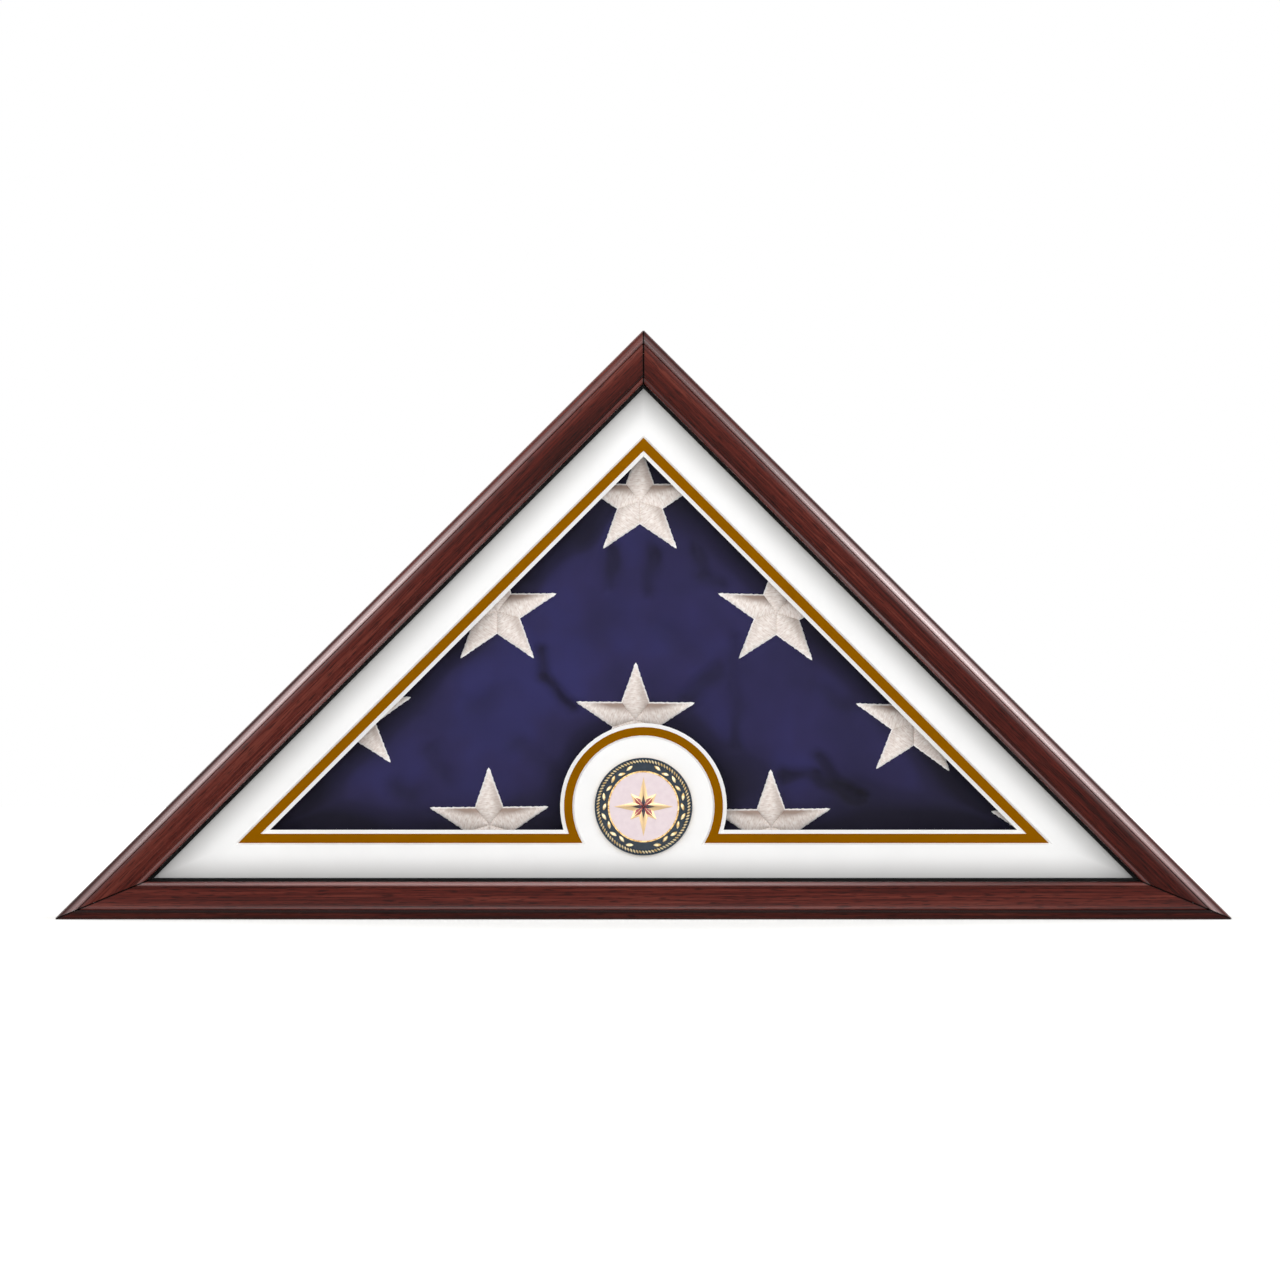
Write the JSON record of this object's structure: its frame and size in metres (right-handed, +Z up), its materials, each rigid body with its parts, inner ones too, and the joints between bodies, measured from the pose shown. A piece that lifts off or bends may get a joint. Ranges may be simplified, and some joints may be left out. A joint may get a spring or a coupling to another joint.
{
  "type": "folded flag display case",
  "caption": "Triangular wooden display case with glass, gold-lined white mat, round medallion and folded star-field flag; lift-off back held by turn buttons.",
  "frame": {"origin": "middle of the case's base, halfway between its front moulding and its rear bumpers", "axes": "+X along the base to the viewer's right, +Y from the glass to the back, +Z up"},
  "size_m": [0.66, 0.0932, 0.33],
  "materials": {
    "mahogany": "satin lacquer over red-brown stain, fine straight grain",
    "clear_glass": "clear float glass, polished",
    "black_spacer": "matt black extruded strip",
    "white_mat_board": "smooth white paper face",
    "gold_facing_paper": "dull gold paper",
    "white_mat_core": "cut bevel of white pulp board",
    "antique_brass": "struck and antiqued, soft shine",
    "dark_enamel": "smooth blue-grey enamel",
    "pale_enamel": "pale pink-silver enamel",
    "foam_pad": "double-sided foam",
    "navy_cotton": "plain woven navy cotton",
    "star_embroidery": "off-white satin-stitch thread",
    "zinc_steel": "zinc plated",
    "black_rubber": "matt moulded rubber",
    "brass_plate": "brass plated steel",
    "stained_hardboard": "pressed board, dark stain",
    "black_felt": "short dark felt"
  },
  "bodies": {
    "case": {"moulding_bottom": "mahogany", "moulding_left": "mahogany", "moulding_right": "mahogany", "mitre_nails": "zinc_steel", "side_bottom": "mahogany", "side_left": "mahogany", "side_right": "mahogany", "glass_pane": "clear_glass", "spacer_bottom": "black_spacer", "spacer_left": "black_spacer", "spacer_right": "black_spacer", "top_mat": "white_mat_board", "under_mat_facing": "gold_facing_paper", "under_mat_core": "white_mat_core", "medallion_disc": "antique_brass", "medallion_rope": "antique_brass", "medallion_dark_ring": "dark_enamel", "medallion_field": "pale_enamel", "medallion_rose": "antique_brass", "medallion_laurel": "antique_brass", "medallion_pad": "foam_pad", "folded_flag": "navy_cotton", "flag_stars": "star_embroidery", "hanging_block": "mahogany", "keyhole_plate": "zinc_steel", "keyhole_screws": "zinc_steel", "wall_bumpers": "black_rubber", "turn_button_screws": "brass_plate"},
    "back": {"back_panel": "stained_hardboard", "back_lining": "black_felt"},
    "button_base_left": {"turn_button_base_left": "brass_plate"},
    "button_base_right": {"turn_button_base_right": "brass_plate"},
    "button_left_low": {"turn_button_left_low": "brass_plate"},
    "button_left_high": {"turn_button_left_high": "brass_plate"},
    "button_right_low": {"turn_button_right_low": "brass_plate"},
    "button_right_high": {"turn_button_right_high": "brass_plate"}
  },
  "joints": [
    {"name": "back_lift_off", "type": "slide", "parent": "case", "child": "back", "axis": [0, 1, 0], "range_m": [0, 0.12]},
    {"name": "button_base_left_turn", "type": "hinge", "parent": "case", "child": "button_base_left", "pos_m": [-0.15, 0.0434, 0.0055], "axis": [0, 1, 0], "range_deg": [0, 90]},
    {"name": "button_base_right_turn", "type": "hinge", "parent": "case", "child": "button_base_right", "pos_m": [0.15, 0.0434, 0.0055], "axis": [0, -1, 0], "range_deg": [0, 90]},
    {"name": "button_left_low_turn", "type": "hinge", "parent": "case", "child": "button_left_low", "pos_m": [-0.23536, 0.0434, 0.08686], "axis": [0, -1, 0], "range_deg": [0, 90]},
    {"name": "button_left_high_turn", "type": "hinge", "parent": "case", "child": "button_left_high", "pos_m": [-0.08686, 0.0434, 0.23536], "axis": [0, -1, 0], "range_deg": [0, 90]},
    {"name": "button_right_low_turn", "type": "hinge", "parent": "case", "child": "button_right_low", "pos_m": [0.23536, 0.0434, 0.08686], "axis": [0, 1, 0], "range_deg": [0, 90]},
    {"name": "button_right_high_turn", "type": "hinge", "parent": "case", "child": "button_right_high", "pos_m": [0.08686, 0.0434, 0.23536], "axis": [0, 1, 0], "range_deg": [0, 90]}
  ]
}
